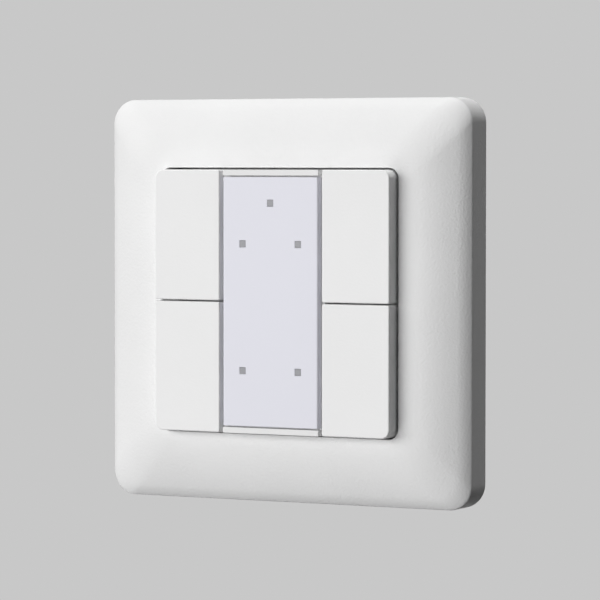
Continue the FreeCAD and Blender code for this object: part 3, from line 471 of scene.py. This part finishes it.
def makeLabelCover():
    size = coverShape
    cover = addBlock("label_cover", (-size["half"], size["rear"], -size["halfHeight"]),
                     (size["half"], size["front"], size["halfHeight"]))
    editPiece(cover)

    def atEndFront(edge):  # the outline of an end face, without its rear and its straight sides
        return all(abs(abs(corner.co.z) - size["halfHeight"] * mm) < samePlace
                   and corner.co.y < -(size["rear"] + margin) * mm for corner in edge.verts)

    roundEdges(lambda edge: runsAlong(edge, 2) and onLevel(edge, size["front"]),
               size["sideRound"], segments=5)
    roundEdges(atEndFront, size["endRound"], segments=2)
    leaveEdit()
    reach = size["hole"] / 2
    holes = [addBlock("hole", (x - reach, size["rear"] - past, z - reach),
                      (x + reach, size["front"] + past, z + reach)) for x, z in size["lights"]]
    combine(cover, holes, "DIFFERENCE")
    lugs = []
    for sign in (1, -1):
        lug = addBlock("lug", (-size["lugWide"] / 2, size["lugRear"], sign * size["lugLow"]),
                       (size["lugWide"] / 2, size["rear"] + size["lugRoot"], sign * size["lugHigh"]))
        editPiece(lug)
        roundEdges(lambda edge: atRearEnd(edge, size["lugRear"]), size["lugRound"], segments=3)
        leaveEdit()
        lugs.append(lug)
    combine(cover, lugs, "UNION")
    smooth(cover)
    return dress(cover, "label_window", "label_window")


labelCover = makeLabelCover()
print("label cover made:", len(labelCover.data.polygons), "faces")


# materials: one grain for all of them, and a finish for each slot

def newGroup(name, inputs, outputs):
    group = bpy.data.node_groups.new(name, "ShaderNodeTree")
    for label, kind, value in inputs:
        socket = group.interface.new_socket(name=label, in_out="INPUT", socket_type="NodeSocket" + kind)
        if value is not None:
            socket.default_value = value
    for label, kind in outputs:
        group.interface.new_socket(name=label, in_out="OUTPUT", socket_type="NodeSocket" + kind)
    return group, group.nodes.new("NodeGroupInput"), group.nodes.new("NodeGroupOutput")


# Fine spark-eroded grain of a mould: a height for the bump and a soft mask that varies slowly.
def makeMouldGrain():
    inputs = [("Vector", "Vector", None), ("Grain Size", "Float", 0.4), ("Softness", "Float", 0.55)]
    group, source, result = newGroup("mouldGrain", inputs, [("Height", "Float"), ("Mottle", "Float")])
    link = group.links.new
    scale = group.nodes.new("ShaderNodeMath")
    scale.operation = "DIVIDE"
    scale.inputs[0].default_value = 1000.0  # grains per metre for a grain size in mm
    link(source.outputs["Grain Size"], scale.inputs[1])
    fine = group.nodes.new("ShaderNodeTexNoise")
    fine.inputs["Detail"].default_value = 3.0
    link(source.outputs["Vector"], fine.inputs["Vector"])
    link(scale.outputs[0], fine.inputs["Scale"])
    link(source.outputs["Softness"], fine.inputs["Roughness"])
    pits = group.nodes.new("ShaderNodeTexVoronoi")
    pits.feature = "SMOOTH_F1"
    link(source.outputs["Vector"], pits.inputs["Vector"])
    link(scale.outputs[0], pits.inputs["Scale"])
    both = group.nodes.new("ShaderNodeMix")
    both.data_type = "FLOAT"
    both.inputs["Factor"].default_value = 0.35
    link(fine.outputs["Fac"], both.inputs["A"])
    link(pits.outputs["Distance"], both.inputs["B"])
    link(both.outputs["Result"], result.inputs["Height"])
    slow = group.nodes.new("ShaderNodeTexNoise")
    slow.inputs["Scale"].default_value = 45.0
    slow.inputs["Detail"].default_value = 2.0
    link(source.outputs["Vector"], slow.inputs["Vector"])
    link(slow.outputs["Fac"], result.inputs["Mottle"])
    return group


mouldGrain = makeMouldGrain()


def newMaterial(name):
    material = bpy.data.materials.new(name)
    material.use_nodes = True
    tree = material.node_tree
    return material, tree, tree.nodes["Principled BSDF"], tree.links.new


# The grain placed in a material; streaks says how many times finer it is along x, y and z.
def grainNode(tree, link, size, streaks):
    place = tree.nodes.new("ShaderNodeTexCoord")
    stretch = tree.nodes.new("ShaderNodeMapping")
    stretch.inputs["Scale"].default_value = streaks
    link(place.outputs["Object"], stretch.inputs["Vector"])
    grain = tree.nodes.new("ShaderNodeGroup")
    grain.node_tree = mouldGrain
    grain.inputs["Grain Size"].default_value = size
    link(stretch.outputs["Vector"], grain.inputs["Vector"])
    return grain


# Base colour that drifts slowly between two tones.
def mottle(tree, link, shader, grain, low, high):
    spread = tree.nodes.new("ShaderNodeValToRGB")
    spread.color_ramp.elements[0].position = 0.3
    spread.color_ramp.elements[0].color = (*low, 1)
    spread.color_ramp.elements[1].position = 0.7
    spread.color_ramp.elements[1].color = (*high, 1)
    link(grain.outputs["Mottle"], spread.inputs["Fac"])
    link(spread.outputs["Color"], shader.inputs["Base Color"])


# Roughness and fine relief that follow the grain; the depth is in mm.
def roughen(tree, link, shader, grain, smoothest, roughest, depth):
    rough = tree.nodes.new("ShaderNodeMapRange")
    rough.inputs["To Min"].default_value = smoothest
    rough.inputs["To Max"].default_value = roughest
    link(grain.outputs["Height"], rough.inputs["Value"])
    link(rough.outputs["Result"], shader.inputs["Roughness"])
    bump = tree.nodes.new("ShaderNodeBump")
    bump.inputs["Strength"].default_value = 1.0
    bump.inputs["Distance"].default_value = depth * mm
    link(grain.outputs["Height"], bump.inputs["Height"])
    link(bump.outputs["Normal"], shader.inputs["Normal"])


def mouldedPlastic(name, colour, variation=0.015, roughness=0.5, grainSize=0.4, depth=0.02, specular=0.4):
    material, tree, shader, link = newMaterial(name)
    grain = grainNode(tree, link, grainSize, streaks=(1, 1, 1))
    low = [value * (1 - variation) for value in colour]
    high = [min(1, value * (1 + variation)) for value in colour]
    mottle(tree, link, shader, grain, low, high)
    roughen(tree, link, shader, grain, smoothest=roughness - 0.04, roughest=roughness + 0.06, depth=depth)
    shader.inputs["Specular IOR Level"].default_value = specular
    return material


def metal(name, colour, roughness=0.35, streaks=(1, 1, 12), variation=0.1, grainSize=0.6, depth=0.006):
    material, tree, shader, link = newMaterial(name)
    grain = grainNode(tree, link, grainSize, streaks)
    mottle(tree, link, shader, grain, [value * (1 - variation) for value in colour], colour)
    roughen(tree, link, shader, grain, smoothest=roughness - 0.08, roughest=roughness + 0.1, depth=depth)
    shader.inputs["Metallic"].default_value = 1.0
    return material


# a plastic's numbers are colour variation, roughness, grain size and depth in mm, and specular level;
# a metal's are roughness and how many times finer its grain is along x, y and z
finishes = {
    "frame_plastic": mouldedPlastic("whiteFramePlastic", (0.86, 0.86, 0.86), 0.02, 0.5, 0.5, 0.09),
    "key_plastic": mouldedPlastic("whiteKeyPlastic", (0.9, 0.9, 0.9), 0.01, 0.5, 0.45, 0.03),
    "carrier_plastic": mouldedPlastic("whiteCarrierPlastic", (0.85, 0.85, 0.85)),
    "cover_plastic": mouldedPlastic("milkyCoverPlastic", (0.798, 0.798, 0.87), 0.004, 0.42, 0.25, 0.003),
    "label_paper": mouldedPlastic("labelCard", (0.82, 0.82, 0.86), 0.01, 0.7, 0.12, 0.01, 0.2),
    "light_guide": mouldedPlastic("greyLightGuide", (0.325, 0.327, 0.348), 0.03, 0.35, 0.3, 0.006),
    "housing_plastic": mouldedPlastic("greyHousingPlastic", (0.09, 0.095, 0.1), 0.06, 0.55, 0.5, 0.04),
    "ring_steel": metal("zincPlatedSteel", (0.62, 0.62, 0.6)),
    "board_laminate": mouldedPlastic("greenLaminate", (0.03, 0.16, 0.07), 0.15, 0.35, 0.9, 0.01),
    "switch_plastic": mouldedPlastic("blackSwitchPlastic", (0.02, 0.02, 0.022), 0.1, 0.45, 0.3, 0.01),
    "plunger_plastic": mouldedPlastic("palePlungerPlastic", (0.6, 0.6, 0.58), 0.04, 0.4, 0.3, 0.01),
    "lamp_body": mouldedPlastic("lampResin", (0.85, 0.84, 0.72), 0.05, 0.3, 0.3, 0.006),
    "chip_resin": mouldedPlastic("chipResin", (0.015, 0.015, 0.016), 0.15, 0.6, 0.15, 0.01),
    "ferrite": mouldedPlastic("sinteredFerrite", (0.035, 0.035, 0.038), 0.2, 0.7, 0.2, 0.03),
    "capacitor_can": metal("drawnCan", (0.75, 0.75, 0.76), 0.3, (1, 12, 1)),
    "screw_steel": metal("zincScrew", (0.68, 0.67, 0.62), 0.3, (1, 8, 1)),
    "pin_brass": metal("tinnedBrass", (0.75, 0.66, 0.42), 0.25, (1, 10, 1)),
    "terminal_red": mouldedPlastic("redTerminalPlastic", (0.5, 0.02, 0.015), 0.08, 0.35, 0.5, 0.01),
    "terminal_dark": mouldedPlastic("darkTerminalPlastic", (0.03, 0.03, 0.035), 0.1, 0.35, 0.5, 0.01),
}


def paint(piece, finish):
    piece.data.materials.clear()
    piece.data.materials.append(finish)


slotOf = {row["node"]: row["material_slot"] for row in frame["record"]["subparts"]}
for name, piece in nodes.items():
    paint(piece, finishes[slotOf[name]])
paint(coverFrame, finishes["frame_plastic"])
for key in keys.values():
    paint(key, finishes["key_plastic"])
paint(labelCover, finishes["cover_plastic"])
print("materials made:", len(finishes))


# floor, light and camera: the studio in metres, watts and degrees

studio = {
    "background": 0.578, "ambient": 0.01,
    "floorLevel": -0.12, "floorRadius": 8.0, "floorTone": 0.64,
    "nearRadius": 0.22, "farRadius": 0.4,  # between these the floor fades into the background
    # name, azimuth round the object from its front, elevation, distance, size and power
    "lamps": (("frontLamp", -10, 10, 2.4, 1.2, 21.4), ("leftLamp", -40, 10, 2.4, 1.2, 23.8),
              ("topLamp", 0, 88, 2.4, 1.2, 32.1), ("lowLamp", -30, -30, 2.4, 1.2, 13.5),
              ("sideLamp", 120, 60, 2.4, 1.2, 8.6), ("rearLamp", 190, 4, 2.4, 1.2, 20.0)),
}


# Direction from the object, with the azimuth counted from its front and the elevation upwards.
def directionOf(azimuth, elevation):
    turn, lift = math.radians(azimuth), math.radians(elevation)
    return Vector((math.sin(turn) * math.cos(lift), -math.cos(turn) * math.cos(lift), math.sin(lift)))


def makeLamp(name, azimuth, elevation, distance, size, power):
    lamp = bpy.data.lights.new(name, "AREA")
    lamp.shape = "SQUARE"
    lamp.size = size
    lamp.energy = power
    holder = bpy.data.objects.new(name, lamp)
    bpy.context.scene.collection.objects.link(holder)
    away = directionOf(azimuth, elevation)
    holder.location = away * distance
    holder.rotation_euler = away.to_track_quat("Z", "Y").to_euler()


# 1 for what the camera sees directly, in a gloss or through glass, and 0 for light on the object.
def rayMask(tree, link):
    rays = tree.nodes.new("ShaderNodeLightPath")
    value = rays.outputs["Is Camera Ray"]
    for label in ("Is Glossy Ray", "Is Transmission Ray"):
        larger = tree.nodes.new("ShaderNodeMath")
        larger.operation = "MAXIMUM"
        link(value, larger.inputs[0])
        link(rays.outputs[label], larger.inputs[1])
        value = larger.outputs[0]
    return value


# Shows one shader where a mask is 0 and another where it is 1.
def blend(tree, link, mask, first, second, output):
    mix = tree.nodes.new("ShaderNodeMixShader")
    link(mask, mix.inputs["Fac"])
    link(first.outputs[0], mix.inputs[1])
    link(second.outputs[0], mix.inputs[2])
    link(mix.outputs[0], tree.nodes[output].inputs["Surface"])


def makeWorld():
    world = bpy.data.worlds.new("studioWorld")
    bpy.context.scene.world = world
    world.use_nodes = True
    tree = world.node_tree
    light = tree.nodes["Background"]
    light.inputs["Color"].default_value = (1, 1, 1, 1)
    light.inputs["Strength"].default_value = studio["ambient"]
    seen = tree.nodes.new("ShaderNodeBackground")
    seen.inputs["Color"].default_value = (studio["background"],) * 3 + (1,)
    blend(tree, tree.links.new, rayMask(tree, tree.links.new), light, seen, "World Output")


def makeFloor():
    deselectAll()
    bpy.ops.mesh.primitive_circle_add(vertices=96, radius=studio["floorRadius"], fill_type="NGON",
                                      location=(0, 0, studio["floorLevel"]))
    floor = bpy.context.object
    floor.name = "paleFloor"
    floor.visible_diffuse = False  # it takes the object's shadow, and neither lights nor shades the object
    floor.visible_shadow = False
    material, tree, shader, link = newMaterial("paleFloorPaint")
    shader.inputs["Base Color"].default_value = (studio["floorTone"],) * 3 + (1,)
    shader.inputs["Roughness"].default_value = 0.9
    shader.inputs["Specular IOR Level"].default_value = 0.1
    plain = tree.nodes.new("ShaderNodeEmission")
    plain.inputs["Color"].default_value = (studio["background"],) * 3 + (1,)
    place = tree.nodes.new("ShaderNodeTexCoord")
    distance = tree.nodes.new("ShaderNodeVectorMath")
    distance.operation = "LENGTH"
    link(place.outputs["Object"], distance.inputs[0])
    far = tree.nodes.new("ShaderNodeMapRange")
    far.interpolation_type = "SMOOTHSTEP"
    far.inputs["From Min"].default_value = studio["nearRadius"]
    far.inputs["From Max"].default_value = studio["farRadius"]
    link(distance.outputs["Value"], far.inputs["Value"])
    seen = tree.nodes.new("ShaderNodeMath")
    seen.operation = "MULTIPLY"
    link(far.outputs["Result"], seen.inputs[0])
    link(rayMask(tree, link), seen.inputs[1])
    blend(tree, link, seen.outputs[0], shader, plain, "Material Output")
    paint(floor, material)


# the photograph's view: degrees, the target and distance in mm, and the lens and sensor in mm
view = {
    "azimuth": 27.5575, "elevation": 2.3012, "roll": 0.0208,
    "target": (-0.8157, 0.0, -0.0786), "distance": 728.95, "lens": 206.805, "sensor": 36.0,
}


def makeCamera():
    back = directionOf(view["azimuth"], view["elevation"])
    roll = math.radians(view["roll"])
    right = (-back).cross(Vector((0, 0, 1))).normalized()
    up = right.cross(-back)
    camera = bpy.data.cameras.new("photoCamera")
    camera.lens = view["lens"]
    camera.sensor_width = view["sensor"]
    camera.clip_start, camera.clip_end = 0.05, 50  # metres
    holder = bpy.data.objects.new("photoCamera", camera)
    bpy.context.scene.collection.objects.link(holder)
    across = right * math.cos(roll) + up * math.sin(roll)
    upright = up * math.cos(roll) - right * math.sin(roll)
    turned = Matrix((across, upright, back)).transposed().to_4x4()
    turned.translation = (Vector(view["target"]) + back * view["distance"]) * mm
    holder.matrix_world = turned
    bpy.context.scene.camera = holder


for lamp in studio["lamps"]:
    makeLamp(*lamp)
makeWorld()
makeFloor()
makeCamera()
bpy.context.scene.view_settings.view_transform = "Standard"
print("studio and camera made")
